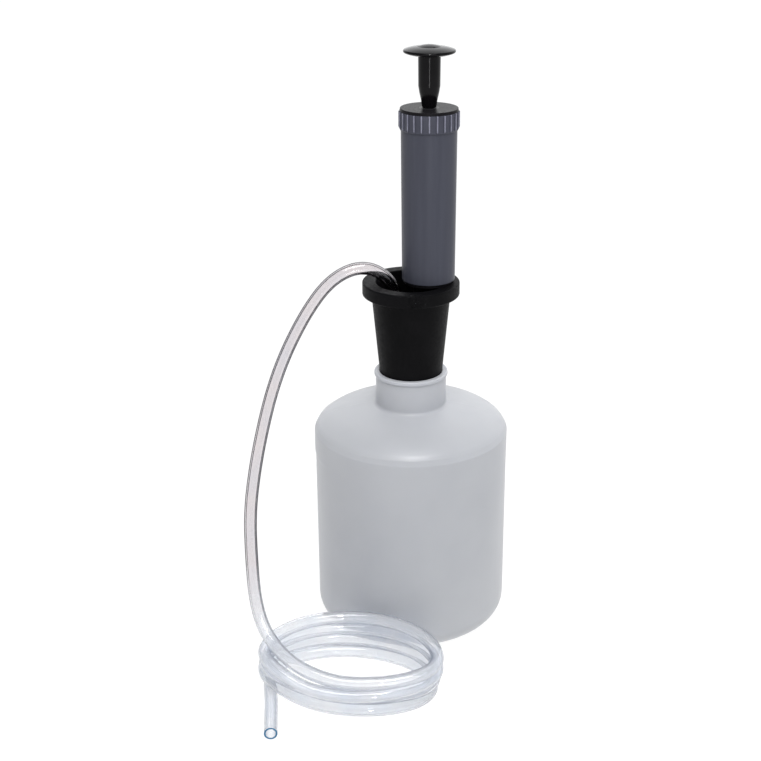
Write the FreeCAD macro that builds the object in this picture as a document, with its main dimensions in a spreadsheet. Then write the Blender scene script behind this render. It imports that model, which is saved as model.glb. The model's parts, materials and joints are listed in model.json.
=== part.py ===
import FreeCAD, Part
import math
import os
import re
import Sketcher

# Fluid transfer pump: a hand plunger pump in a tapered rubber stopper on a blow-moulded bottle,
# with a clear hose. Millimetres, +Z up, origin at the centre of the bottle's foot.

Vector = FreeCAD.Vector

SIZES = {
    # Bottle: heights from the floor and radii about the bottle's axis.
    "bottle_panel_radius": 61.7,
    "bottle_shoulder_radius": 62.0,
    "bottle_panel_top": 125.5,
    "bottle_step_top": 128.0,
    "bottle_dome_base": 131.9,
    "bottle_dome_top": 150.7,
    "bottle_dome_centre": 2.0,
    "bottle_neck_radius": 22.4,
    "bottle_neck_top": 170.4,
    "bottle_lip_radius": 23.3,
    "bottle_top": 172.9,
    "bottle_bore": 19.9,
    "bottle_wall": 1.2,
    "bottle_corner": 15.0,
    "bottle_foot_radius": 42.0,
    "bottle_foot_rise": 2.4,
    "bottle_dish_radius": 38.0,
    "bottle_dish_shift": 0.6,
    "bottle_lip_round": 0.9,
    "bottle_neck_round": 2.2,
    # Stopper: a hollow tapered cone with a flange, a cavity on top and a socket for the pump.
    "stopper_tip": 161.0,
    "stopper_tip_radius": 18.8,
    "stopper_skirt_bore": 15.0,
    "stopper_floor_low": 190.0,
    "stopper_floor_high": 198.0,
    "stopper_floor_radius": 18.6,
    "flange_low": 223.9,
    "flange_high": 232.2,
    "flange_cone_radius": 24.66,
    "flange_radius": 30.3,
    "flange_bore": 22.0,
    "flange_edge": 0.9,
    "socket_radius": 9.5,
    "socket_floor": 208.0,
    "spigot_radius": 6.0,
    "spigot_low": 210.0,
    "air_radius": 2.5,
    # Hose and its fitting.
    "hose_radius": 4.0,
    "hose_bore": 3.0,
    "port_x": -8.0,
    "port_radius": 4.0,
    "fitting_low": 187.5,
    "fitting_flange_radius": 6.5,
    "fitting_nut_radius": 6.2,
    "fitting_nut_high": 202.0,
    "fitting_neck_radius": 4.4,
    "hose_start": 206.0,
    "fitting_barb": 2.95,
    "fitting_lead": 211.0,
    "fitting_top": 213.0,
    "fitting_tip_radius": 2.3,
    "fitting_bore": 2.0,
    "coil_x": -38.0,
    "coil_y": -100.0,
    "coil_turn": -8.5,
    "coil_long": 57.5,
    "coil_short": 41.0,
    "coil_open_long": 35.0,
    "coil_open_short": 27.0,
    "coil_height": 32.0,
    # Pump: heights from the floor, radii about the pump's own axis.
    "pump_x": 10.8,
    "barrel_low": 234.2,
    "barrel_high": 338.0,
    "barrel_low_radius": 16.4,
    "barrel_high_radius": 17.0,
    "barrel_bore": 14.5,
    "plug_radius": 14.45,
    "plug_flange_radius": 15.6,
    "plug_high": 240.0,
    "groove_low": 236.0,
    "groove_high": 238.0,
    "groove_radius": 12.9,
    "ring_centre": 13.7,
    "ring_section": 0.85,
    "seat_radius": 4.0,
    "seat_high": 240.6,
    "disc_low": 240.65,
    "disc_thickness": 1.2,
    "disc_radius": 6.5,
    "cage_bore": 7.2,
    "cage_radius": 11.0,
    "cage_ceiling": 243.0,
    "cage_high": 244.2,
    "cage_vent": 1.5,
    "window_width": 6.0,
    "window_low": 240.8,
    "collar_low": 327.1,
    "collar_radius": 17.6,
    "collar_foot_radius": 17.3,
    "collar_bevel_high": 327.6,
    "rib_radius": 18.3,
    "rib_width": 0.8,
    "rib_root_radius": 17.2,
    "rib_foot_radius": 17.5,
    "rib_ramp_high": 328.7,
    "rib_bevel": 0.3,
    "cap_high": 339.8,
    "cap_radius": 17.45,
    "cap_edge": 0.35,
    "cap_skirt_low": 335.0,
    "cap_skirt_bore": 12.6,
    "cap_hub_low": 334.5,
    "cap_hub_radius": 8.0,
    "vent_radius": 1.0,
    "vent_offset": 10.3,
    "bush_radius": 6.0,
    "bush_low": 333.5,
    "bush_bore": 3.55,
    "bumper_low": 332.5,
    "bumper_radius": 9.5,
    # Plunger.
    "rod_radius": 3.5,
    "rod_low": 245.0,
    "rod_shoulder": 257.2,
    "rod_high": 356.0,
    "thread_radius": 2.5,
    "thread_chamfer": 0.5,
    "nut_radius": 4.6,
    "nut_low": 245.6,
    "nut_high": 249.4,
    "piston_low": 249.4,
    "piston_radius": 14.1,
    "piston_web_high": 252.6,
    "piston_hub_radius": 7.0,
    "piston_high": 255.7,
    "cup_low": 252.9,
    "cup_high": 258.4,
    "cup_bore": 7.3,
    "cup_web_high": 255.3,
    "cup_radius": 14.42,
    "cup_lip_low_radius": 12.4,
    "cup_lip_high_radius": 13.4,
    "washer_radius": 11.6,
    "knob_low": 340.3,
    "knob_tip_radius": 4.35,
    "knob_waist": 344.2,
    "knob_waist_radius": 4.9,
    "knob_flare": 348.9,
    "knob_flare_radius": 5.95,
    "knob_shank": 352.6,
    "knob_shank_radius": 6.55,
    "knob_neck": 370.2,
    "knob_neck_radius": 6.7,
    "knob_rim_low": 372.0,
    "knob_rim_high": 373.7,
    "knob_rim_radius": 15.0,
    "knob_rim_round": 0.95,
    "knob_under_round": 22.0,
    "knob_dome_round": 34.0,
    "insert_radius": 7.0,
    "insert_low": 374.0,
    "insert_high": 375.4,
    "insert_top": 376.6,
    "notch_width": 1.3,
    "notch_depth": 0.8,
    "screw_head_radius": 3.4,
    "screw_well_radius": 3.7,
    "screw_head_high": 368.6,
    "screw_seat": 366.0,
    "screw_radius": 1.5,
    "screw_low": 347.0,
    "slot_width": 0.8,
    "slot_depth": 1.1,
    "pilot_low": 346.0,
}

COLLAR_RIBS = 24
INSERT_NOTCHES = 3
INSERT_TURN = -66

# The hose's route from its fitting, over the stopper's rim and down to the coil.
RISER_ROUTE = [
    (-8, 0, 206),
    (-8, 0, 220.5),
    (-15.5, -1, 233.5),
    (-28.5, -4, 241),
    (-43, -7, 240.5),
    (-57, -11, 232),
    (-67, -16, 217),
    (-77, -24, 195),
    (-85, -33, 174),
    (-91, -43, 152),
    (-96, -53, 128),
    (-99, -64, 103),
    (-98, -74, 78),
    (-96, -84, 57),
    (-91, -95, 43),
    (-82, -107, 35),
    (-72, -117, 30.5),
]
# The free end, out from under the coil.
END_ROUTE = [
    (-84, -120, 4),
    (-83, -135, 4),
    (-82, -151, 4),
]
ARC_SHARE = 0.45

document = FreeCAD.newDocument("fluid_transfer_pump")
nodes = []


def fill_sheet():
    """Put every driving size in the spreadsheet, one alias to a row."""
    sheet = document.addObject("Spreadsheet::Sheet", "sizes")
    for row, (word, value) in enumerate(SIZES.items(), start=1):
        sheet.set(f"A{row}", word)
        sheet.set(f"B{row}", str(value))
        sheet.setAlias(f"B{row}", word)
    document.recompute()
    return sheet


def bound(text):
    """Turn the sizes' own names into references to the spreadsheet."""
    return re.sub(r"[a-z][a-z_]+", lambda word: "sizes." + word.group(0), text)


def value_of(thing, text):
    """The number that an expression has now."""
    return float(thing.evalExpression(bound(text)))


def new_body(label, across="0"):
    """Start a body that stands on the floor, its axis at a place along X."""
    body = document.addObject("PartDesign::Body", label)
    body.Label = label
    body.setExpression("Placement.Base.x", bound(across))
    nodes.append(body)
    return body


def origin_part(body, role):
    """One of a body's own origin planes or axes."""
    return next(item for item in body.Origin.OriginFeatures if item.Role == role)


def new_sketch(body, name, role="XZ_Plane"):
    """An empty sketch on one of the body's origin planes."""
    sketch = body.newObject("Sketcher::SketchObject", name)
    sketch.AttachmentSupport = [(origin_part(body, role), "")]
    sketch.MapMode = "FlatFace"
    return sketch


def tie(sketch, kind, terms, text):
    """Add one sizing constraint and bind it to the spreadsheet."""
    number = sketch.addConstraint(Sketcher.Constraint(kind, *terms, value_of(sketch, text)))
    sketch.setExpression(f"Constraints[{number}]", bound(text))


def tie_point(sketch, item, end, corner):
    """Hold one end of a line at its corner, on the axis where it has no radius."""
    across, up = corner[0], corner[1]
    if across == "0":
        sketch.addConstraint(Sketcher.Constraint("PointOnObject", item, end, -2))
    else:
        tie(sketch, "DistanceX", (-1, 1, item, end), across)
    if up == "0":
        sketch.addConstraint(Sketcher.Constraint("PointOnObject", item, end, -1))
    else:
        tie(sketch, "DistanceY", (-1, 1, item, end), up)


def bulged(start, finish, radius):
    """An arc between two points that bulges to the right of the travel."""
    chord = finish - start
    right = Vector(chord.y, -chord.x, 0).normalize()
    rise = radius - math.sqrt(radius * radius - chord.Length ** 2 / 4)
    return Part.Arc(start, (start + finish) * 0.5 + right * rise, finish)


def domed(start, finish, centre):
    """A quarter of an ellipse, less its far end, with its long axis level."""
    reach = start.x - centre.x
    across = (finish.x - centre.x) / reach
    height = (finish.y - centre.y) / math.sqrt(1 - across * across)
    top = Vector(centre.x, centre.y + height, 0)
    return Part.ArcOfEllipse(Part.Ellipse(start, top, centre), 0, math.acos(across))


def outline(sketch, corners):
    """Close a sketch through corners of (across, up), each with what leads on from it.

    A third item is the next side's radius, or ("dome", across) for the bottle's shoulder.
    """
    points = [Vector(value_of(sketch, c[0]), value_of(sketch, c[1]), 0) for c in corners]
    domes = []
    for number, corner in enumerate(corners):
        start = points[number]
        finish = points[(number + 1) % len(points)]
        side = corner[2] if len(corner) > 2 else None
        if side is None:
            sketch.addGeometry(Part.LineSegment(start, finish))
        elif isinstance(side, tuple):
            centre = Vector(value_of(sketch, side[1]), start.y, 0)
            sketch.addGeometry(domed(start, finish, centre))
            domes.append((number, (side[1], corner[1])))
        else:
            sketch.addGeometry(bulged(start, finish, value_of(sketch, side)))
            tie(sketch, "Radius", (number,), side)
    for number, corner in enumerate(corners):
        before = (number - 1) % len(corners)
        sketch.addConstraint(Sketcher.Constraint("Coincident", before, 2, number, 1))
        tie_point(sketch, number, 1, corner)
    for number, centre in domes:
        tie_point(sketch, number, 3, centre)
        sketch.exposeInternalGeometry(number)
        sketch.addConstraint(Sketcher.Constraint("Horizontal", sketch.GeometryCount - 4))


def turned(body, name, corners, kind="PartDesign::Revolution"):
    """Turn an outline about the body's axis, to add or to cut."""
    sketch = new_sketch(body, name + "_outline")
    outline(sketch, corners)
    feature = body.newObject(kind, name)
    feature.Profile = sketch
    feature.ReferenceAxis = (sketch, ["V_Axis"])
    feature.Angle = 360
    document.recompute()
    return feature


def lathe(label, corners, across="pump_x"):
    """A piece that is one turned outline."""
    body = new_body(label, across)
    turned(body, label + "_turned", corners)
    return body


def rounded(body, rounding, places, kind="PartDesign::Fillet"):
    """Round the circular edges that lie at the given (radius, height) places."""
    before = body.Tip
    wanted = [(value_of(body, r), value_of(body, z)) for r, z in places]
    names = []
    for number, edge in enumerate(before.Shape.Edges, start=1):
        if not isinstance(edge.Curve, Part.Circle):
            continue
        for radius, height in wanted:
            if abs(edge.Curve.Radius - radius) < 0.01 and abs(edge.Curve.Center.z - height) < 0.01:
                names.append(f"Edge{number}")
    feature = body.newObject(kind, body.Label + "_edge" + str(len(body.Group)))
    feature.Base = (before, names)
    word = "Radius" if kind == "PartDesign::Fillet" else "Size"
    feature.setExpression(word, bound(rounding))
    document.recompute()
    return feature


def stand(body, kind, name, place, sizes):
    """Add or cut a PartDesign primitive at a place in the body."""
    feature = body.newObject(kind, name)
    feature.AttachmentSupport = [(origin_part(body, "XY_Plane"), "")]
    feature.MapMode = "FlatFace"
    for axis, text in zip("xyz", place):
        feature.setExpression("AttachmentOffset.Base." + axis, bound(text))
    for word, text in sizes.items():
        feature.setExpression(word, bound(text))
    document.recompute()
    return feature


def repeated(body, feature, count):
    """Repeat a feature in a ring about the body's axis."""
    pattern = body.newObject("PartDesign::PolarPattern", feature.Name + "_ring")
    pattern.Originals = [feature]
    pattern.Axis = (origin_part(body, "Z_Axis"), [""])
    pattern.Angle = 360
    pattern.Occurrences = count
    body.Tip = pattern
    document.recompute()
    return pattern


def make_bottle():
    """Blow-moulded bottle: one wall all over, a dished foot and an open neck."""
    body = new_body("bottle")
    turned(body, "bottle_outside", [
        ("0", "bottle_foot_rise"),
        ("bottle_dish_radius", "bottle_foot_rise"),
        ("bottle_foot_radius", "0"),
        ("bottle_panel_radius - bottle_corner", "0", "bottle_corner"),
        ("bottle_panel_radius", "bottle_corner"),
        ("bottle_panel_radius", "bottle_panel_top"),
        ("bottle_shoulder_radius", "bottle_step_top"),
        ("bottle_shoulder_radius", "bottle_dome_base", ("dome", "bottle_dome_centre")),
        ("bottle_neck_radius", "bottle_dome_top"),
        ("bottle_neck_radius", "bottle_neck_top"),
        ("bottle_lip_radius", "bottle_neck_top"),
        ("bottle_lip_radius", "bottle_top"),
        ("0", "bottle_top"),
    ])
    inner = "bottle_panel_radius - bottle_wall"
    wide = "bottle_shoulder_radius - bottle_wall"
    turned(body, "bottle_inside", [
        ("0", "bottle_foot_rise + bottle_wall"),
        ("bottle_dish_radius + bottle_dish_shift", "bottle_foot_rise + bottle_wall"),
        ("bottle_foot_radius + bottle_dish_shift", "bottle_wall"),
        ("bottle_panel_radius - bottle_corner", "bottle_wall", "bottle_corner - bottle_wall"),
        (inner, "bottle_corner"),
        (inner, "bottle_panel_top"),
        (wide, "bottle_step_top"),
        (wide, "bottle_dome_base", ("dome", "bottle_dome_centre")),
        ("bottle_bore", "bottle_dome_top - bottle_wall"),
        ("bottle_bore", "bottle_top"),
        ("0", "bottle_top"),
    ], "PartDesign::Groove")
    rounded(body, "bottle_lip_round", [("bottle_lip_radius", "bottle_top")])
    rounded(body, "bottle_neck_round", [("bottle_neck_radius", "bottle_dome_top")])


def make_stopper():
    """Hollow rubber stopper: skirt below the floor, cavity above it, socket for the pump."""
    body = new_body("stopper")
    turned(body, "stopper_turned", [
        ("stopper_skirt_bore", "stopper_tip"),
        ("stopper_tip_radius", "stopper_tip"),
        ("flange_cone_radius", "flange_low"),
        ("flange_radius", "flange_low"),
        ("flange_radius", "flange_high"),
        ("flange_bore", "flange_high"),
        ("stopper_floor_radius", "stopper_floor_high"),
        ("0", "stopper_floor_high"),
        ("0", "stopper_floor_low"),
        ("stopper_skirt_bore", "stopper_floor_low"),
    ])
    rounded(body, "flange_edge", [
        ("flange_radius", "flange_high"),
        ("flange_radius", "flange_low"),
        ("flange_bore", "flange_high"),
    ])
    stand(body, "PartDesign::AdditiveCylinder", "stopper_socket", ("pump_x", "0", "stopper_floor_low"),
          {"Radius": "socket_radius", "Height": "flange_high - stopper_floor_low"})
    stand(body, "PartDesign::SubtractiveCylinder", "socket_bore", ("pump_x", "0", "socket_floor"),
          {"Radius": "spigot_radius", "Height": "flange_high - socket_floor"})
    stand(body, "PartDesign::SubtractiveCylinder", "socket_air_hole", ("pump_x", "0", "stopper_floor_low"),
          {"Radius": "air_radius", "Height": "socket_floor - stopper_floor_low"})
    stand(body, "PartDesign::SubtractiveCylinder", "hose_port", ("port_x", "0", "stopper_floor_low"),
          {"Radius": "port_radius", "Height": "stopper_floor_high - stopper_floor_low"})


def make_hose_fitting():
    """Barbed fitting through the stopper's floor, with the hose pushed over its top."""
    lathe("hose_fitting", [
        ("fitting_bore", "fitting_low"),
        ("fitting_flange_radius", "fitting_low"),
        ("fitting_flange_radius", "stopper_floor_low"),
        ("port_radius", "stopper_floor_low"),
        ("port_radius", "stopper_floor_high"),
        ("fitting_nut_radius", "stopper_floor_high"),
        ("fitting_nut_radius", "fitting_nut_high"),
        ("fitting_neck_radius", "fitting_nut_high"),
        ("fitting_neck_radius", "hose_start"),
        ("fitting_barb", "hose_start"),
        ("fitting_barb", "fitting_lead"),
        ("fitting_tip_radius", "fitting_top"),
        ("fitting_bore", "fitting_top"),
    ], across="port_x")


def hose_line(label, route):
    """Straight runs joined by tangent arcs, each as large as its two runs allow."""
    points = [Vector(*place) for place in route]
    edges = []
    radii = []
    current = points[0]
    for before, corner, after in zip(points, points[1:], points[2:]):
        back = (before - corner).normalize()
        ahead = (after - corner).normalize()
        reach = ARC_SHARE * min((before - corner).Length, (after - corner).Length)
        half = back.getAngle(ahead) / 2
        radius = reach * math.tan(half)
        inward = (back + ahead).normalize()
        middle = corner + inward * (radius / math.sin(half) - radius)
        edges.append(Part.LineSegment(current, corner + back * reach).toShape())
        edges.append(Part.Arc(corner + back * reach, middle, corner + ahead * reach).toShape())
        radii.append(round(radius, 1))
        current = corner + ahead * reach
    edges.append(Part.LineSegment(current, points[-1]).toShape())
    print(label, "arc radii", radii)
    return Part.Wire(edges)


def make_hose_tube(sheet, label, route):
    """A length of hose: an outer tube less its bore, along one line."""
    line = hose_line(label, route)
    start = Vector(*route[0])
    heading = Vector(*route[1]) - start
    tubes = []
    for radius in (sheet.hose_radius, sheet.hose_bore):
        ring = Part.Wire([Part.makeCircle(radius, start, heading)])
        tubes.append(line.makePipeShell([ring], True, False))
    tube = document.addObject("Part::Feature", label)
    tube.Label = label
    tube.Shape = tubes[0].cut(tubes[1])
    tube.Placement = FreeCAD.Placement()
    nodes.append(tube)
    section = math.pi * (sheet.hose_radius ** 2 - sheet.hose_bore ** 2)
    print(label, "length", round(line.Length, 1), "volume share", tube.Shape.Volume / (section * line.Length))


def oval(sketch, long_half, short_half):
    """An ellipse about the sketch's origin, its long axis along X."""
    far = Vector(value_of(sketch, long_half), 0, 0)
    side = Vector(0, value_of(sketch, short_half), 0)
    item = sketch.addGeometry(Part.Ellipse(far, side, Vector(0, 0, 0)))
    sketch.addConstraint(Sketcher.Constraint("Coincident", item, 3, -1, 1))
    sketch.exposeInternalGeometry(item)
    long_line = sketch.GeometryCount - 4
    short_line = sketch.GeometryCount - 3
    sketch.addConstraint(Sketcher.Constraint("Horizontal", long_line))
    tie(sketch, "Distance", (long_line,), "2 * " + long_half)
    tie(sketch, "Distance", (short_line,), "2 * " + short_half)


def make_hose_coil():
    """The outer shape of the coiled hose: an oval ring lying on the floor."""
    body = new_body("hose_coil", "coil_x")
    body.setExpression("Placement.Base.y", bound("coil_y"))
    body.setExpression("Placement.Rotation.Angle", bound("coil_turn"))
    sketch = new_sketch(body, "coil_outline", "XY_Plane")
    oval(sketch, "coil_long", "coil_short")
    oval(sketch, "coil_open_long", "coil_open_short")
    pad = body.newObject("PartDesign::Pad", "coil_pad")
    pad.Profile = sketch
    pad.setExpression("Length", bound("coil_height"))
    document.recompute()


def make_pump_barrel():
    """Pump barrel with moulding draft, open at both ends."""
    lathe("pump_barrel", [
        ("barrel_bore", "barrel_low"),
        ("barrel_low_radius", "barrel_low"),
        ("barrel_high_radius", "barrel_high"),
        ("barrel_bore", "barrel_high"),
    ])


def make_base_plug():
    """Plug in the barrel's foot: flange, spigot for the stopper, ring groove and valve seat."""
    lathe("base_plug", [
        ("air_radius", "spigot_low"),
        ("spigot_radius", "spigot_low"),
        ("spigot_radius", "flange_high"),
        ("plug_flange_radius", "flange_high"),
        ("plug_flange_radius", "barrel_low"),
        ("plug_radius", "barrel_low"),
        ("plug_radius", "groove_low"),
        ("groove_radius", "groove_low"),
        ("groove_radius", "groove_high"),
        ("plug_radius", "groove_high"),
        ("plug_radius", "plug_high"),
        ("seat_radius", "plug_high"),
        ("seat_radius", "seat_high"),
        ("air_radius", "seat_high"),
    ])


def make_plug_ring():
    """Sealing ring in the base plug's groove, squeezed against the barrel."""
    ring = document.addObject("Part::Torus", "plug_seal_ring")
    ring.Label = "plug_seal_ring"
    ring.setExpression("Radius1", bound("ring_centre"))
    ring.setExpression("Radius2", bound("ring_section"))
    ring.setExpression("Placement.Base.x", bound("pump_x"))
    ring.setExpression("Placement.Base.z", bound("(groove_low + groove_high) / 2"))
    nodes.append(ring)


def make_valve():
    """Inlet check valve: a rubber disc on its seat, under a cage with side windows."""
    disc = document.addObject("Part::Cylinder", "valve_disc")
    disc.Label = "valve_disc"
    disc.setExpression("Radius", bound("disc_radius"))
    disc.setExpression("Height", bound("disc_thickness"))
    disc.setExpression("Placement.Base.x", bound("pump_x"))
    disc.setExpression("Placement.Base.z", bound("disc_low"))
    nodes.append(disc)
    cage = lathe("valve_cage", [
        ("cage_bore", "plug_high"),
        ("cage_radius", "plug_high"),
        ("cage_radius", "cage_high"),
        ("cage_vent", "cage_high"),
        ("cage_vent", "cage_ceiling"),
        ("cage_bore", "cage_ceiling"),
    ])
    window = stand(cage, "PartDesign::SubtractiveBox", "cage_window",
                   ("0", "-window_width / 2", "window_low"),
                   {"Length": "2 * cage_radius", "Width": "window_width",
                    "Height": "cage_ceiling - window_low"})
    repeated(cage, window, 4)


def make_collar():
    """Ribbed screw ring round the barrel's mouth."""
    body = lathe("collar_ring", [
        ("barrel_high_radius", "collar_low"),
        ("collar_foot_radius", "collar_low"),
        ("collar_radius", "collar_bevel_high"),
        ("collar_radius", "barrel_high"),
        ("barrel_high_radius", "barrel_high"),
    ])
    sketch = new_sketch(body, "rib_outline")
    outline(sketch, [
        ("rib_root_radius", "collar_low"),
        ("rib_foot_radius", "collar_low"),
        ("rib_radius", "rib_ramp_high"),
        ("rib_radius", "barrel_high - rib_bevel"),
        ("rib_radius - rib_bevel", "barrel_high"),
        ("rib_root_radius", "barrel_high"),
    ])
    rib = body.newObject("PartDesign::Pad", "collar_rib")
    rib.Profile = sketch
    rib.Midplane = True
    rib.setExpression("Length", bound("rib_width"))
    document.recompute()
    repeated(body, rib, COLLAR_RIBS)


def make_guide_cap():
    """Cap on the barrel: a disc, a skirt in the bore, a hub for the bush and an air vent."""
    body = lathe("guide_cap", [
        ("bush_radius", "cap_hub_low"),
        ("cap_hub_radius", "cap_hub_low"),
        ("cap_hub_radius", "barrel_high"),
        ("cap_skirt_bore", "barrel_high"),
        ("cap_skirt_bore", "cap_skirt_low"),
        ("plug_radius", "cap_skirt_low"),
        ("plug_radius", "barrel_high"),
        ("cap_radius", "barrel_high"),
        ("cap_radius", "cap_high"),
        ("bush_radius", "cap_high"),
    ])
    rounded(body, "cap_edge", [("cap_radius", "cap_high")])
    stand(body, "PartDesign::SubtractiveCylinder", "cap_vent", ("0", "vent_offset", "cap_skirt_low"),
          {"Radius": "vent_radius", "Height": "cap_high - cap_skirt_low"})
    lathe("rod_bush", [
        ("bush_bore", "bush_low"),
        ("bush_radius", "bush_low"),
        ("bush_radius", "cap_high"),
        ("bush_bore", "cap_high"),
    ])
    lathe("bumper_ring", [
        ("bush_radius", "bumper_low"),
        ("bumper_radius", "bumper_low"),
        ("bumper_radius", "cap_hub_low"),
        ("bush_radius", "cap_hub_low"),
    ])


def make_plunger_rod():
    """Rod with a thread for the piston at its foot and a pilot hole for the knob's screw."""
    body = lathe("piston_rod", [
        ("0", "rod_low"),
        ("thread_radius", "rod_low"),
        ("thread_radius", "rod_shoulder"),
        ("rod_radius", "rod_shoulder"),
        ("rod_radius", "rod_high"),
        ("screw_radius", "rod_high"),
        ("screw_radius", "pilot_low"),
        ("0", "pilot_low"),
    ])
    rounded(body, "thread_chamfer", [("thread_radius", "rod_low")], "PartDesign::Chamfer")


def make_piston():
    """Piston, its floating cup seal with the lips up, the washer over it and the nut below."""
    lathe("piston", [
        ("thread_radius", "piston_low"),
        ("piston_radius", "piston_low"),
        ("piston_radius", "piston_web_high"),
        ("piston_hub_radius", "piston_web_high"),
        ("piston_hub_radius", "piston_high"),
        ("thread_radius", "piston_high"),
    ])
    lathe("piston_cup", [
        ("cup_bore", "cup_low"),
        ("cup_radius", "cup_low"),
        ("cup_radius", "cup_high"),
        ("cup_lip_high_radius", "cup_high"),
        ("cup_lip_low_radius", "cup_web_high"),
        ("cup_bore", "cup_web_high"),
    ])
    lathe("piston_washer", [
        ("thread_radius", "piston_high"),
        ("washer_radius", "piston_high"),
        ("washer_radius", "rod_shoulder"),
        ("thread_radius", "rod_shoulder"),
    ])
    make_piston_nut()


def make_piston_nut():
    """Hexagon nut on the rod's thread."""
    blank = document.addObject("Part::Prism", "nut_blank")
    blank.Polygon = 6
    blank.setExpression("Circumradius", bound("nut_radius"))
    blank.setExpression("Height", bound("nut_high - nut_low"))
    blank.setExpression("Placement.Base.x", bound("pump_x"))
    blank.setExpression("Placement.Base.z", bound("nut_low"))
    hole = document.addObject("Part::Cylinder", "nut_hole")
    hole.setExpression("Radius", bound("thread_radius"))
    hole.setExpression("Height", bound("2 * (nut_high - rod_low)"))
    hole.setExpression("Placement.Base.x", bound("pump_x"))
    hole.setExpression("Placement.Base.z", bound("rod_low"))
    nut = document.addObject("Part::Cut", "piston_nut")
    nut.Label = "piston_nut"
    nut.Base = blank
    nut.Tool = hole
    nodes.append(nut)


def make_knob():
    """Mushroom knob with a tapered shank, a snap-in insert and the screw that it hides."""
    lathe("knob", [
        ("rod_radius", "knob_low"),
        ("knob_tip_radius", "knob_low"),
        ("knob_waist_radius", "knob_waist"),
        ("knob_flare_radius", "knob_flare"),
        ("knob_shank_radius", "knob_shank"),
        ("knob_neck_radius", "knob_neck", "knob_under_round"),
        ("knob_rim_radius", "knob_rim_low", "knob_rim_round"),
        ("knob_rim_radius", "knob_rim_high", "knob_dome_round"),
        ("insert_radius", "insert_high"),
        ("insert_radius", "insert_low"),
        ("screw_well_radius", "insert_low"),
        ("screw_well_radius", "screw_seat"),
        ("screw_radius", "screw_seat"),
        ("screw_radius", "rod_high"),
        ("rod_radius", "rod_high"),
    ])
    rise = "(insert_top - insert_high)"
    insert = lathe("knob_insert", [
        ("0", "insert_low"),
        ("insert_radius", "insert_low"),
        ("insert_radius", "insert_high", f"(insert_radius ^ 2 + {rise} ^ 2) / (2 * {rise})"),
        ("0", "insert_top"),
    ])
    notch = stand(insert, "PartDesign::SubtractiveBox", "insert_notch",
                  ("insert_radius - notch_depth", "-notch_width / 2", "insert_low"),
                  {"Length": "2 * notch_depth", "Width": "notch_width", "Height": "insert_top - insert_low"})
    repeated(insert, notch, INSERT_NOTCHES)
    insert.Placement.Rotation = FreeCAD.Rotation(Vector(0, 0, 1), INSERT_TURN)
    screw = lathe("knob_screw", [
        ("0", "screw_low"),
        ("screw_radius", "screw_low"),
        ("screw_radius", "screw_seat"),
        ("screw_head_radius", "screw_seat"),
        ("screw_head_radius", "screw_head_high"),
        ("0", "screw_head_high"),
    ])
    stand(screw, "PartDesign::SubtractiveBox", "screw_slot",
          ("-2 * screw_head_radius", "-slot_width / 2", "screw_head_high - slot_depth"),
          {"Length": "4 * screw_head_radius", "Width": "slot_width", "Height": "slot_depth"})


def check_and_write():
    """Stop on any failed object or shape, then write one file for each piece."""
    document.recompute()
    for item in document.Objects:
        if "Invalid" in item.State or "Error" in item.State:
            raise RuntimeError("failed object: " + item.Name)
    os.makedirs("parts", exist_ok=True)
    for node in nodes:
        shape = node.Shape
        if shape.isNull() or not shape.isValid() or len(shape.Solids) != 1:
            raise RuntimeError("bad shape: " + node.Label)
        shape.exportStep("parts/" + node.Label + ".step")
        print(node.Label, "volume", round(shape.Volume, 1))


def main():
    sheet = fill_sheet()
    make_bottle()
    make_stopper()
    make_hose_fitting()
    make_hose_tube(sheet, "hose_riser", RISER_ROUTE)
    make_hose_coil()
    make_hose_tube(sheet, "hose_end", END_ROUTE)
    make_pump_barrel()
    make_base_plug()
    make_plug_ring()
    make_valve()
    make_collar()
    make_guide_cap()
    make_plunger_rod()
    make_piston()
    make_knob()
    check_and_write()


main()
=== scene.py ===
import json
import math

import bmesh
import bpy
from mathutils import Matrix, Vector


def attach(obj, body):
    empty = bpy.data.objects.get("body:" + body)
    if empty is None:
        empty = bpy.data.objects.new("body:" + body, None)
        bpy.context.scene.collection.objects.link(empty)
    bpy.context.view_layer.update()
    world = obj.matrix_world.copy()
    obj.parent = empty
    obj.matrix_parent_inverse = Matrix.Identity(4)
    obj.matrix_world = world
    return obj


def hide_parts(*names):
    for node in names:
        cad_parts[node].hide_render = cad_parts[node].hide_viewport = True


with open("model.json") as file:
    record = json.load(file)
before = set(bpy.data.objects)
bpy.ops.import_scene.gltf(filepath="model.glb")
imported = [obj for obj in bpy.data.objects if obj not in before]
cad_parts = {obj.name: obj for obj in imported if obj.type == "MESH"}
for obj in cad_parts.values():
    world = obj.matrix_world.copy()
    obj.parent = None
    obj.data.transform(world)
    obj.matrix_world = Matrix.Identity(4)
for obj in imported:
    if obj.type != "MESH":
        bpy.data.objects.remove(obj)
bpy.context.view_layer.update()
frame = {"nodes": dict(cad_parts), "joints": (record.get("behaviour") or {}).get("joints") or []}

# Fluid transfer pump. Metres, +Z up, origin at the centre of the bottle's foot.
MM = 0.001
FULL_TURN = 2 * math.pi
# The body that the bottle and the hose ride on.
STAND = "stand"
# The pump stands beside the bottle's axis: the plunger turns about the pump's own.
TURN_JOINT = next(joint for joint in frame["joints"] if joint["name"] == "plunger_turn")
PUMP_X = TURN_JOINT["pos_m"][0]


# ---------------------------------------------------------------- node helpers


def node(tree, kind, **values):
    """A new node, its input sockets set by name."""
    made = tree.nodes.new(kind)
    for name, value in values.items():
        made.inputs[name.replace("_", " ")].default_value = value
    return made


def start_material(name):
    """A new material, its tree and its shader."""
    material = bpy.data.materials.new(name)
    material.use_nodes = True
    tree = material.node_tree
    return material, tree, tree.nodes["Principled BSDF"]


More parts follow.
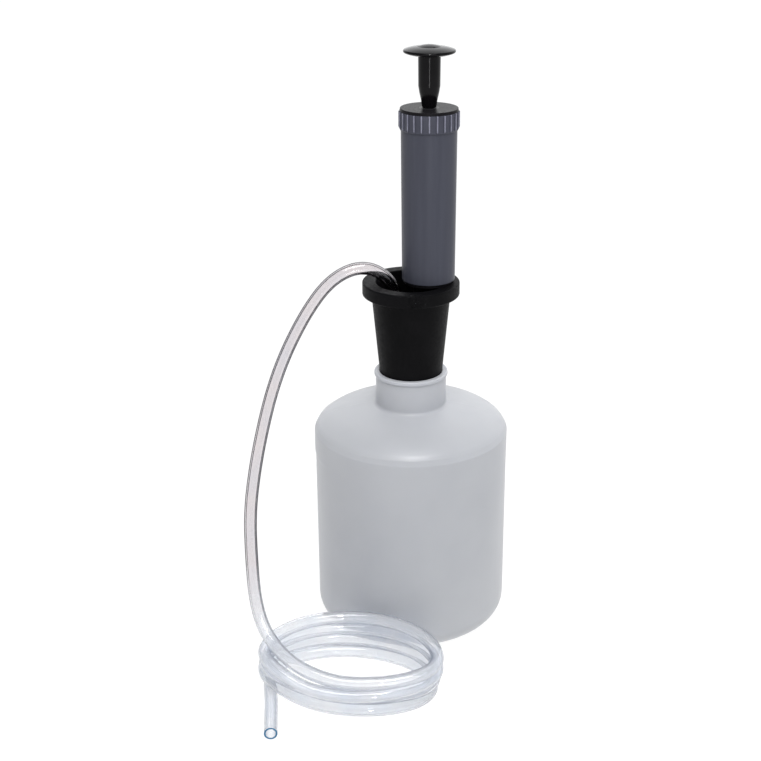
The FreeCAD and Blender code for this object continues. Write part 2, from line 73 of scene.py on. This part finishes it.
def surface_place(tree):
    """The surface's own coordinates, in metres."""
    return tree.nodes.new("ShaderNodeTexCoord").outputs["Object"]


def stretched(tree, scale):
    """Coordinates of the surface in metres, drawn out by a scale for each axis."""
    mapped = node(tree, "ShaderNodeMapping", Scale=scale)
    tree.links.new(surface_place(tree), mapped.inputs["Vector"])
    return mapped.outputs["Vector"]


def along_axis(tree, axis):
    """How far along X, Y or Z the surface is, in metres."""
    parts = tree.nodes.new("ShaderNodeSeparateXYZ")
    tree.links.new(surface_place(tree), parts.inputs["Vector"])
    return parts.outputs[axis]


def cloud(tree, scale, detail=4, roughness=0.55, stretch=(1, 1, 1)):
    """A noise pattern, its scale in blotches to a metre."""
    noise = node(tree, "ShaderNodeTexNoise", Scale=scale, Detail=detail, Roughness=roughness)
    tree.links.new(stretched(tree, stretch), noise.inputs["Vector"])
    return noise.outputs["Fac"]


def ramp_between(tree, source, low, high, start=0.3, end=0.7):
    """A number or colour that goes from low to high as the source goes from start to end."""
    if isinstance(low, tuple):
        ramp = tree.nodes.new("ShaderNodeValToRGB")
        ramp.color_ramp.elements[0].position = start
        ramp.color_ramp.elements[0].color = (*low, 1)
        ramp.color_ramp.elements[1].position = end
        ramp.color_ramp.elements[1].color = (*high, 1)
        tree.links.new(source, ramp.inputs["Fac"])
        return ramp.outputs["Color"]
    ramp = tree.nodes.new("ShaderNodeMapRange")
    ramp.inputs["From Min"].default_value = start
    ramp.inputs["From Max"].default_value = end
    ramp.inputs["To Min"].default_value = low
    ramp.inputs["To Max"].default_value = high
    tree.links.new(source, ramp.inputs["Value"])
    return ramp.outputs["Result"]


def mixed(tree, share, first, second):
    """Two colours mixed by a share of the second."""
    mix = tree.nodes.new("ShaderNodeMix")
    mix.data_type = "RGBA"
    tree.links.new(share, mix.inputs["Factor"])
    tree.links.new(first, mix.inputs["A"])
    tree.links.new(second, mix.inputs["B"])
    return mix.outputs["Result"]


def multiplied(tree, first, second):
    """Two colours multiplied."""
    mix = tree.nodes.new("ShaderNodeMix")
    mix.data_type = "RGBA"
    mix.blend_type = "MULTIPLY"
    mix.inputs["Factor"].default_value = 1
    tree.links.new(first, mix.inputs["A"])
    tree.links.new(second, mix.inputs["B"])
    return mix.outputs["Result"]


def roughen(tree, skin, layers):
    """Bumps on the surface: each layer is a pattern, its height in metres and its strength."""
    before = None
    for pattern, height, strength in layers:
        bump = node(tree, "ShaderNodeBump", Distance=height, Strength=strength)
        tree.links.new(pattern, bump.inputs["Height"])
        if before is not None:
            tree.links.new(before, bump.inputs["Normal"])
        before = bump.outputs["Normal"]
    tree.links.new(before, skin.inputs["Normal"])


# ---------------------------------------------------------------- camera and light

CAMERA_PLACE = (0, -0.8395, 0.5092)
CAMERA_TILT = math.radians(67.32)
LENS_MM = 67.16
SENSOR_MM = 36
LENS_SHIFT = (-0.040, 0.013)
VIEW_REACH = 50

# The surround goes from grey in front to white behind, turned a little to the right.
SKY_HEADING = math.radians(-72)
SKY_GREY = (0.24, 0.25, 0.27)
SKY_WHITE = (1.45, 1.46, 1.48)
SKY_GREY_UNTIL = 0.55
SKY_WHITE_FROM = 0.92

FLOOR_REACH = 9
# The floor is this far under the bottle's foot, so that they share no face.
FLOOR_DROP = 0.4 * MM
FLOOR_GLOW = 0.94

# Name, place, the point it shines on, size, watts and colour.
LIGHTS = [
    ("top_light", (0.05, -0.55, 1.6), (0, 0, 0.1), (1.0, 0.7), 12.5, (1, 1, 1)),
    ("key_light", (0.05, -0.85, 1.5), (0, 0, 0.15), (0.18, 0.18), 9, (1, 1, 1)),
    ("near_light", (0.03, -1.2, 0.2), (0, 0, 0.3), (0.06, 0.3), 1.2, (1, 1, 1)),
    ("right_light", (1.2, -0.8, 0.7), (0, 0, 0.2), (0.5, 0.9), 1, (0.85, 0.93, 1)),
]


def make_camera():
    """The photograph's view: from the front, looking down at the object."""
    data = bpy.data.cameras.new("camera")
    data.sensor_width = SENSOR_MM
    data.lens = LENS_MM
    data.shift_x, data.shift_y = LENS_SHIFT
    data.clip_end = VIEW_REACH
    camera = bpy.data.objects.new("camera", data)
    camera.location = CAMERA_PLACE
    camera.rotation_euler = (CAMERA_TILT, 0, 0)
    bpy.context.scene.collection.objects.link(camera)
    bpy.context.scene.camera = camera


def softbox(name, place, aim, size, power, tint):
    """A rectangular area light at a place, turned to shine on a point."""
    data = bpy.data.lights.new(name, "AREA")
    data.shape = "RECTANGLE"
    data.size, data.size_y = size
    data.energy = power
    data.color = tint
    lamp = bpy.data.objects.new(name, data)
    lamp.visible_camera = False
    lamp.location = place
    away = [p - a for p, a in zip(place, aim)]
    flat = math.hypot(away[0], away[1])
    lamp.rotation_euler = (math.atan2(flat, away[2]), 0, math.atan2(away[0], -away[1]))
    bpy.context.scene.collection.objects.link(lamp)


def make_surround():
    """A pale world that is greyer in front, for the glossy parts to reflect."""
    bpy.context.scene.view_settings.view_transform = "Standard"
    world = bpy.data.worlds.new("studio")
    bpy.context.scene.world = world
    world.use_nodes = True
    tree = world.node_tree
    where = tree.nodes.new("ShaderNodeTexCoord")
    # A direction's parts go from -1 to 1, and the gradient from 0 to 1.
    spread = node(
        tree, "ShaderNodeMapping", Rotation=(0, 0, SKY_HEADING), Scale=(0.5, 0.5, 0.5),
        Location=(0.5, 0, 0))
    sky = tree.nodes.new("ShaderNodeTexGradient")
    tree.links.new(where.outputs["Generated"], spread.inputs["Vector"])
    tree.links.new(spread.outputs["Vector"], sky.inputs["Vector"])
    tree.links.new(
        ramp_between(tree, sky.outputs["Fac"], SKY_GREY, SKY_WHITE, SKY_GREY_UNTIL, SKY_WHITE_FROM),
        tree.nodes["Background"].inputs["Color"])


def make_floor():
    """A white floor that glows a little, so that it has no edge and only faint shadows."""
    floor = bpy.data.meshes.new("floor")
    signs = [(-1, -1), (1, -1), (1, 1), (-1, 1)]
    corners = [(x * FLOOR_REACH, y * FLOOR_REACH, 0) for x, y in signs]
    floor.from_pydata(corners, [], [(0, 1, 2, 3)])
    stage = bpy.data.objects.new("floor", floor)
    stage.location.z = -FLOOR_DROP
    bpy.context.scene.collection.objects.link(stage)
    paper, _, skin = start_material("studio_floor")
    skin.inputs["Base Color"].default_value = (0.12, 0.12, 0.12, 1)
    skin.inputs["Roughness"].default_value = 0.9
    skin.inputs["Specular IOR Level"].default_value = 0.1
    skin.inputs["Emission Color"].default_value = (1, 1, 1, 1)
    skin.inputs["Emission Strength"].default_value = FLOOR_GLOW
    floor.materials.append(paper)


def make_studio():
    """The surround, the floor and the soft lights."""
    make_surround()
    make_floor()
    for light in LIGHTS:
        softbox(*light)


# ---------------------------------------------------------------- materials

# The collar's rib tops carry a painted highlight from the first radius outwards, full at the
# second.
RIB_HIGHLIGHT_START = 17.8 * MM
RIB_HIGHLIGHT_END = 18.2 * MM
# The rough mark on the front of the stopper's flange: its middle, and the distances from there
# up to which it is full and at which it ends.
GATE_MARK = (0.004, -0.0303, 0.2285)
GATE_CORE = 2.5 * MM
GATE_REACH = 6 * MM
GATE_DEPTH = 0.003
# The same two distances for the ridge on the bottle's parting line.
SEAM_CORE = 0.1 * MM
SEAM_REACH = 0.5 * MM
# The hose has its coil's look up to the first height, and its hanging look from the second.
COIL_LOOK_TOP = 0.035
HANGING_LOOK_FROM = 0.075


def moulded(name, dark, light, gloss, grain, level=0.5, stretch=(1, 1, 1), blotch=60):
    """Injection-moulded plastic or rubber: clouded colour, uneven gloss, fine grain.

    grain is the fine bumps' scale and their height in metres.
    """
    material, tree, skin = start_material(name)
    grain_scale, grain_height = grain
    broad = cloud(tree, blotch, stretch=stretch)
    fine = cloud(tree, grain_scale, detail=3, roughness=0.7)
    tree.links.new(ramp_between(tree, broad, dark, light), skin.inputs["Base Color"])
    uneven = cloud(tree, 9 * blotch, stretch=stretch)
    tree.links.new(ramp_between(tree, uneven, *gloss), skin.inputs["Roughness"])
    roughen(tree, skin, [(broad, 0.00006, 0.25), (fine, grain_height, 0.6)])
    skin.inputs["Specular IOR Level"].default_value = level
    return material


def make_collar_material():
    """The collar's plastic, with a painted highlight along the tops of its ribs."""
    material = moulded(
        "collar_plastic", (0.050, 0.052, 0.070), (0.062, 0.064, 0.085),
        (0.3, 0.42), (3000, 0.00002), 0.15)
    tree = material.node_tree
    skin = tree.nodes["Principled BSDF"]
    plain = skin.inputs["Base Color"].links[0].from_socket
    flat = node(tree, "ShaderNodeMapping", Location=(-PUMP_X, 0, 0), Scale=(1, 1, 0))
    reach = tree.nodes.new("ShaderNodeVectorMath")
    reach.operation = "LENGTH"
    tree.links.new(surface_place(tree), flat.inputs["Vector"])
    tree.links.new(flat.outputs["Vector"], reach.inputs[0])
    # Painted highlight: the rib tops are coloured lighter, standing in for the light they catch.
    rib_highlight_share = ramp_between(tree, reach.outputs["Value"], 0.0, 1.0, RIB_HIGHLIGHT_START, RIB_HIGHLIGHT_END)
    rib_highlight_colour = ramp_between(tree, cloud(tree, 500), (0.16, 0.16, 0.21), (0.24, 0.24, 0.30))
    tree.links.new(mixed(tree, rib_highlight_share, plain, rib_highlight_colour), skin.inputs["Base Color"])
    return material


def make_stopper_material():
    """Black moulded rubber with a rough gate mark on the front of its flange."""
    material = moulded(
        "stopper_rubber", (0.002, 0.0019, 0.0023), (0.0035, 0.0033, 0.004),
        (0.42, 0.6), (2400, 0.00003), 0.07)
    tree = material.node_tree
    skin = tree.nodes["Principled BSDF"]
    before = skin.inputs["Normal"].links[0].from_socket
    gap = tree.nodes.new("ShaderNodeVectorMath")
    gap.operation = "DISTANCE"
    gap.inputs[1].default_value = GATE_MARK
    tree.links.new(surface_place(tree), gap.inputs[0])
    near = ramp_between(tree, gap.outputs["Value"], 1.0, 0.0, GATE_CORE, GATE_REACH)
    torn = tree.nodes.new("ShaderNodeMath")
    torn.operation = "MULTIPLY"
    tree.links.new(near, torn.inputs[0])
    tree.links.new(cloud(tree, 480, detail=5), torn.inputs[1])
    bump = node(tree, "ShaderNodeBump", Distance=GATE_DEPTH, Strength=1.0)
    tree.links.new(torn.outputs["Value"], bump.inputs["Height"])
    tree.links.new(before, bump.inputs["Normal"])
    tree.links.new(bump.outputs["Normal"], skin.inputs["Normal"])
    return material


def make_bottle_material():
    """Blow-moulded natural polyethylene: milky, waxy, with faint flow lines down the wall.

    The mould's parting line runs round it from left to right, where y is 0.
    """
    material, tree, skin = start_material("bottle_plastic")
    broad = cloud(tree, 14, detail=3)
    flow = cloud(tree, 170, detail=3, stretch=(1, 1, 0.05))
    fine = cloud(tree, 2600, detail=2)
    tree.links.new(
        ramp_between(tree, broad, (0.43, 0.44, 0.47), (0.48, 0.49, 0.515)),
        skin.inputs["Base Color"])
    tree.links.new(ramp_between(tree, flow, 0.29, 0.38), skin.inputs["Roughness"])
    side = tree.nodes.new("ShaderNodeMath")
    side.operation = "ABSOLUTE"
    tree.links.new(along_axis(tree, "Y"), side.inputs[0])
    seam = ramp_between(tree, side.outputs["Value"], 1.0, 0.0, SEAM_CORE, SEAM_REACH)
    roughen(tree, skin, [
        (broad, 0.0006, 0.25), (seam, 0.00012, 1), (flow, 0.00003, 0.3), (fine, 0.00001, 0.5)])
    skin.inputs["Subsurface Weight"].default_value = 0.25
    skin.inputs["Subsurface Radius"].default_value = (0.006, 0.006, 0.007)
    skin.inputs["Subsurface Scale"].default_value = 1
    skin.inputs["Specular IOR Level"].default_value = 0.4
    return material


def make_hose_material():
    """Clear soft vinyl with painted shade along its edges: near black where it hangs and bluish in
    the coil, which is also hazier.
    """
    material, tree, skin = start_material("hose_vinyl")
    haze = cloud(tree, 60, detail=4)
    slant = node(tree, "ShaderNodeLayerWeight", Blend=0.5).outputs["Facing"]
    # Painted shade: the colour darkens towards the tube's edges, standing in for the dark
    # surroundings its curved wall bends and reflects there.
    coil_edge_shade = ramp_between(tree, slant, (0.88, 0.885, 0.89), (0.30, 0.34, 0.42), 0.38, 0.8)
    hanging_edge_shade = ramp_between(tree, slant, (0.89, 0.865, 0.87), (0.012, 0.01, 0.012), 0.37, 0.46)
    hung = ramp_between(tree, along_axis(tree, "Z"), 0.0, 1.0, COIL_LOOK_TOP, HANGING_LOOK_FROM)
    cloudy = ramp_between(tree, haze, (0.95, 0.965, 0.985), (0.995, 0.985, 0.98))
    painted_edge_shade = mixed(tree, hung, coil_edge_shade, hanging_edge_shade)
    tree.links.new(multiplied(tree, painted_edge_shade, cloudy), skin.inputs["Base Color"])
    tree.links.new(ramp_between(tree, haze, 0.02, 0.07), skin.inputs["Roughness"])
    tree.links.new(
        ramp_between(tree, hung, 0.88, 1.0, 0.0, 1.0), skin.inputs["Transmission Weight"])
    roughen(tree, skin, [(haze, 0.00003, 0.1)])
    skin.inputs["Specular IOR Level"].default_value = 0.2
    skin.inputs["IOR"].default_value = 1.50
    # Light passes through to the floor, so the hose throws only a faint shadow.
    through = node(tree, "ShaderNodeBsdfTransparent", Color=(0.90, 0.91, 0.93, 1))
    path = tree.nodes.new("ShaderNodeLightPath")
    mix = tree.nodes.new("ShaderNodeMixShader")
    tree.links.new(path.outputs["Is Shadow Ray"], mix.inputs["Fac"])
    tree.links.new(skin.outputs["BSDF"], mix.inputs[1])
    tree.links.new(through.outputs["BSDF"], mix.inputs[2])
    tree.links.new(mix.outputs["Shader"], tree.nodes["Material Output"].inputs["Surface"])
    return material


def make_cut_material():
    """The hose's sawn end face: the wall seen end-on, deep blue from its edge."""
    material, tree, skin = start_material("hose_cut_face")
    ripple = cloud(tree, 1800, detail=4)
    tree.links.new(
        ramp_between(tree, ripple, (0.003, 0.10, 0.22), (0.010, 0.16, 0.32)),
        skin.inputs["Base Color"])
    tree.links.new(ramp_between(tree, ripple, 0.3, 0.5), skin.inputs["Roughness"])
    roughen(tree, skin, [(ripple, 0.00005, 0.5)])
    return material


def make_steel_material():
    """Zinc-plated steel, turned: fine rings and a dulled, uneven plate."""
    material, tree, skin = start_material("zinc_steel")
    broad = cloud(tree, 220)
    turned = cloud(tree, 900, detail=2, stretch=(1, 1, 9))
    tree.links.new(
        ramp_between(tree, broad, (0.42, 0.43, 0.44), (0.60, 0.60, 0.58)),
        skin.inputs["Base Color"])
    tree.links.new(ramp_between(tree, turned, 0.28, 0.42), skin.inputs["Roughness"])
    roughen(tree, skin, [(turned, 0.00002, 0.4)])
    skin.inputs["Metallic"].default_value = 1
    return material


# ---------------------------------------------------------------- mesh helpers


def to_piece(name, shape, body, material):
    """Put a finished mesh in the scene as a piece that rides on a body."""
    data = bpy.data.meshes.new(name)
    shape.to_mesh(data)
    shape.free()
    for face in data.polygons:
        face.use_smooth = True
    data.materials.append(material)
    piece = bpy.data.objects.new(name, data)
    bpy.context.scene.collection.objects.link(piece)
    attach(piece, body)
    return piece


def bridge(shape, before, after, turned=False):
    """Faces between two closed rows of points, turned over where they face the other way."""
    made = []
    count = len(before)
    for number in range(count):
        beside = (number + 1) % count
        corners = [before[number], before[beside], after[beside], after[number]]
        # Triangles where a row is one point repeated.
        corners = list(dict.fromkeys(corners))
        made.append(shape.faces.new(corners[::-1] if turned else corners))
    return made


def eased(part, start, end):
    """0 before start, 1 after end, and a smooth rise between them."""
    x = min(max((part - start) / (end - start), 0), 1)
    return x * x * (3 - 2 * x)


def smooth_line(points):
    """Points along the smooth spline that the route's points control."""
    data = bpy.data.curves.new("hose_line", "CURVE")
    data.dimensions = "3D"
    data.resolution_u = 12
    spline = data.splines.new("NURBS")
    spline.points.add(len(points) - 1)
    for point, place in zip(spline.points, points):
        point.co = (*place, 1)
    spline.order_u = 3
    spline.use_endpoint_u = True
    line = bpy.data.objects.new("hose_line", data)
    mesh = bpy.data.meshes.new_from_object(line)
    places = [vertex.co.copy() for vertex in mesh.vertices]
    bpy.data.objects.remove(line)
    bpy.data.meshes.remove(mesh)
    bpy.data.curves.remove(data)
    return places


# ---------------------------------------------------------------- hose

HOSE_OUT = 4.0 * MM
HOSE_IN = 3.0 * MM
HOSE_SIDES = 40

# From the fitting, over the stopper's rim and down to the coil, as in the CAD model.
RISER_ROUTE = [
    (-0.008, 0.000, 0.206),
    (-0.008, 0.000, 0.2205),
    (-0.0135, -0.001, 0.2335),
    (-0.0245, -0.004, 0.242),
    (-0.0375, -0.007, 0.242),
    (-0.0515, -0.010, 0.2335),
    (-0.0643, -0.016, 0.217),
    (-0.0765, -0.024, 0.195),
    (-0.085, -0.033, 0.174),
    (-0.091, -0.043, 0.152),
    (-0.096, -0.053, 0.128),
    (-0.099, -0.064, 0.103),
    (-0.098, -0.074, 0.078),
    (-0.096, -0.084, 0.057),
    (-0.091, -0.095, 0.043),
    (-0.082, -0.107, 0.035),
    (-0.072, -0.117, 0.0305),
    (-0.058, -0.1255, 0.0272),
]
# The free end, out from under the coil.
END_ROUTE = [
    (-0.0865, -0.104, 0.004),
    (-0.0845, -0.119, 0.004),
    (-0.0833, -0.135, 0.004),
    (-0.082, -0.151, 0.004),
]
# The coil's half turns, front and back by turns from the top one down, in millimetres:
# middle x and y, half length, half depth, height.
HALF_TURNS = [
    (-34.5, -84.0, 53.8, 47.4, 25.0),
    (-36.8, -106.0, 53.8, 44.6, 28.0),
    (-35.5, -86.0, 53.8, 46.9, 16.6),
    (-36.8, -104.0, 53.8, 42.4, 20.0),
    (-36.5, -86.0, 53.5, 39.0, 12.3),
    (-38.5, -100.0, 54.0, 38.6, 12.0),
    (-36.3, -93.6, 51.2, 33.6, 4.0),
    (-37.0, -97.6, 51.0, 34.2, 4.0),
]
COIL_TILT = math.radians(-8.5)
# Points to a half turn, and half turns in the coil.
COIL_STEPS = 8
COIL_HALF_TURNS = 7.5
# The stretch of a half turn, from 0 to 1, over which its size passes over to the next one's,
# and the stretch over which its height does, round the coil's right and round its left.
RESIZE_AT_RIGHT = (0, 0.6)
RESIZE_AT_LEFT = (0.4, 1)
DROP_AT_RIGHT = (0, 0.4)
DROP_AT_LEFT = (0.64, 0.96)


def coil_point(step):
    """A place on the coil. Each turn drops a diameter at its left, onto the turn below."""
    index = step // COIL_STEPS
    part = step / COIL_STEPS - index
    now = HALF_TURNS[index]
    after = HALF_TURNS[min(index + 1, len(HALF_TURNS) - 1)]
    at_left = index % 2 == 1
    share = eased(part, *(RESIZE_AT_LEFT if at_left else RESIZE_AT_RIGHT))
    fall = eased(part, *(DROP_AT_LEFT if at_left else DROP_AT_RIGHT))
    x, y, length, depth = [a + (b - a) * share for a, b in zip(now[:4], after[:4])]
    turn = math.pi * (part + index - 0.5)
    along = length * math.cos(turn)
    across = depth * math.sin(turn)
    return (
        (x + along * math.cos(COIL_TILT) - across * math.sin(COIL_TILT)) * MM,
        (y + along * math.sin(COIL_TILT) + across * math.cos(COIL_TILT)) * MM,
        (now[4] + (after[4] - now[4]) * fall) * MM,
    )


def tube_rings(shape, places, radii):
    """Rings of points square to a line, one list of rings for each radius, without a twist."""
    rings = [[] for radius in radii]
    turns = [FULL_TURN * corner / HOSE_SIDES for corner in range(HOSE_SIDES)]
    side = (places[1] - places[0]).orthogonal().normalized()
    for number, place in enumerate(places):
        ahead = places[min(number + 1, len(places) - 1)] - places[max(number - 1, 0)]
        ahead.normalize()
        side = (side - ahead * side.dot(ahead)).normalized()
        other = ahead.cross(side)
        for made, radius in zip(rings, radii):
            made.append([
                shape.verts.new(
                    place + side * radius * math.cos(turn) + other * radius * math.sin(turn))
                for turn in turns
            ])
    return rings


def make_hose(vinyl, cut):
    """The whole hose: one clear tube from the fitting, round the coil to its open end."""
    coil = [coil_point(step) for step in range(round(COIL_HALF_TURNS * COIL_STEPS) + 1)]
    places = smooth_line(RISER_ROUTE + coil + END_ROUTE)
    shape = bmesh.new()
    outer, inner = tube_rings(shape, places, (HOSE_OUT, HOSE_IN))
    for before, after in zip(outer, outer[1:]):
        bridge(shape, before, after)
    for before, after in zip(inner, inner[1:]):
        bridge(shape, before, after, turned=True)
    ends = bridge(shape, outer[0], inner[0], turned=True) + bridge(shape, outer[-1], inner[-1])
    for face in ends:
        face.material_index = 1
        for edge in face.edges:
            edge.smooth = False
    hose = to_piece("hose", shape, STAND, vinyl)
    hose.data.materials.append(cut)
    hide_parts("hose_riser", "hose_coil", "hose_end")


# ---------------------------------------------------------------- bottle

BOTTLE_SIDES = 160
# The mould's pad on the left fades out between half this angle and this angle.
PAD_REACH = math.radians(40)

# The shoulder is part of an ellipse, in millimetres: its middle's radius and height, and the
# reach and rise of its outside and of its inside.
DOME_CENTRE = 2.0
DOME_BASE = 131.9
DOME_OUTSIDE = (60.0, 20.0)
DOME_INSIDE = (58.8, 18.8)


def dome_points(size, angles):
    """Points on the shoulder as corners of the outline, with no rounding and no pad."""
    reach, rise = size
    turns = [math.radians(angle) for angle in angles]
    return [
        (DOME_CENTRE + reach * math.cos(turn), DOME_BASE + rise * math.sin(turn), 0, 0)
        for turn in turns
    ]


# The bottle's outline from its foot up the outside and back down the inside, in millimetres:
# radius, height, rounding, and how far the mould's pad on the left stands out there.
BOTTLE_LINE = [
    (0.0, 2.4, 0, 0),
    (38.0, 2.4, 2, 0),
    (42.0, 0.0, 1, 0),
    (61.7, 0.0, 15, 0),
    (61.7, 96.0, 0, 0),
    (61.75, 117.0, 1, 0),
    (61.8, 120.0, 1, 0.4),
    (61.85, 126.0, 0, 0.4),
    (61.9, 133.6, 2, 0.2),
    (60.25, 136.6, 1, 0.3),
    (59.0, 138.2, 0, 0.4),
    (58.1, 139.1, 0, 0),
    *dome_points(DOME_OUTSIDE, range(23, 66, 3)),
    (22.4, 150.7, 2.2, 0),
    (22.4, 170.0, 0.4, 0),
    (23.3, 170.7, 0.5, 0),
    (23.3, 172.9, 1, 0),
    (19.9, 172.9, 0.5, 0),
    (19.9, 149.5, 1, 0),
    *dome_points(DOME_INSIDE, range(69, 5, -3)),
    (60.7, 131.3, 1, 0),
    (60.5, 120.0, 0, 0),
    (60.5, 1.2, 13.8, 0),
    (42.6, 1.2, 1, 0),
    (38.6, 3.6, 2, 0),
    (0.0, 3.6, 0, 0),
]
# Steps round a corner, and round one as large as the foot's.
CORNER_STEPS = 5
FOOT_STEPS = 10
FOOT_ROUNDING = 5
# A rounding takes up at most this share of the runs beside it.
ROUNDING_SHARE = 0.8


def softened(corners):
    """The outline with its corners rounded to true arcs, as radius, height and pad."""
    line = []
    for number, (radius, height, rounding, pad) in enumerate(corners):
        if not rounding:
            line.append((radius, height, pad))
            continue
        here = Vector((radius, height))
        back = Vector(corners[number - 1][:2]) - here
        ahead = Vector(corners[number + 1][:2]) - here
        half = back.angle(ahead) / 2
        reach = min(
            rounding / math.tan(half),
            ROUNDING_SHARE * back.length,
            ROUNDING_SHARE * ahead.length)
        back = back.normalized() * reach
        ahead = ahead.normalized() * reach
        to_centre = (back + ahead).normalized() * reach / math.cos(half)
        steps = FOOT_STEPS if rounding > FOOT_ROUNDING else CORNER_STEPS
        for step in range(steps + 1):
            spoke = (back - to_centre).slerp(ahead - to_centre, step / steps)
            place = here + to_centre + spoke * reach * math.tan(half)
            line.append((place.x, place.y, pad))
    return line


def make_bottle(material):
    """Blow-moulded bottle: shoulder with a crease, a moulded pad on its left, a beaded lip."""
    shape = bmesh.new()
    rings = []
    for radius, height, pad in softened(BOTTLE_LINE):
        if radius == 0:
            rings.append([shape.verts.new((0, 0, height * MM))] * BOTTLE_SIDES)
            continue
        ring = []
        for side in range(BOTTLE_SIDES):
            turn = FULL_TURN * side / BOTTLE_SIDES
            share = 1 - eased(abs(turn - math.pi), PAD_REACH / 2, PAD_REACH)
            reach = (radius + pad * share) * MM
            place = (reach * math.cos(turn), reach * math.sin(turn), height * MM)
            ring.append(shape.verts.new(place))
        rings.append(ring)
    for before, after in zip(rings, rings[1:]):
        bridge(shape, before, after)
    bottle = to_piece("bottle_blown", shape, STAND, material)
    bottle.modifiers.new("even_shading", "WEIGHTED_NORMAL")
    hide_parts("bottle")


# ---------------------------------------------------------------- the rest


def dress_nodes():
    """Give every CAD node that stays its own material."""
    steel = make_steel_material()
    stopper = make_stopper_material()
    barrel = moulded(
        "barrel_plastic", (0.051, 0.053, 0.070), (0.061, 0.064, 0.083),
        (0.30, 0.42), (3200, 0.00001), 0.12, (1, 1, 0.06), 160)
    collar = make_collar_material()
    black = moulded(
        "black_plastic", (0.007, 0.0065, 0.008), (0.012, 0.0115, 0.013),
        (0.26, 0.38), (2600, 0.00001), 0.04)
    knob = moulded(
        "knob_plastic", (0.003, 0.0026, 0.0032), (0.005, 0.0045, 0.0053),
        (0.10, 0.17), (1500, 0.00001), 0.12)
    bush = moulded(
        "bush_plastic", (0.014, 0.014, 0.016), (0.022, 0.022, 0.024), (0.4, 0.5), (2500, 0.00001))
    seal = moulded(
        "seal_rubber", (0.006, 0.006, 0.006), (0.012, 0.012, 0.012), (0.5, 0.7), (1800, 0.00003))
    valve = moulded(
        "valve_rubber", (0.10, 0.022, 0.012), (0.16, 0.035, 0.02), (0.45, 0.6), (1800, 0.00002))
    fitting = moulded(
        "fitting_nylon", (0.004, 0.004, 0.005), (0.008, 0.008, 0.009), (0.3, 0.45), (2000, 0.00002))
    dressed = {
        stopper: ["stopper"],
        barrel: ["pump_barrel"],
        collar: ["collar_ring"],
        black: ["guide_cap", "base_plug", "valve_cage", "piston_rod", "piston"],
        knob: ["knob", "knob_insert"],
        bush: ["rod_bush"],
        seal: ["bumper_ring", "plug_seal_ring", "piston_cup"],
        valve: ["valve_disc"],
        fitting: ["hose_fitting"],
        steel: ["piston_washer", "piston_nut", "knob_screw"],
    }
    for material, names in dressed.items():
        for name in names:
            for slot in frame["nodes"][name].material_slots:
                slot.material = material


make_camera()
make_studio()
make_hose(make_hose_material(), make_cut_material())
make_bottle(make_bottle_material())
dress_nodes()
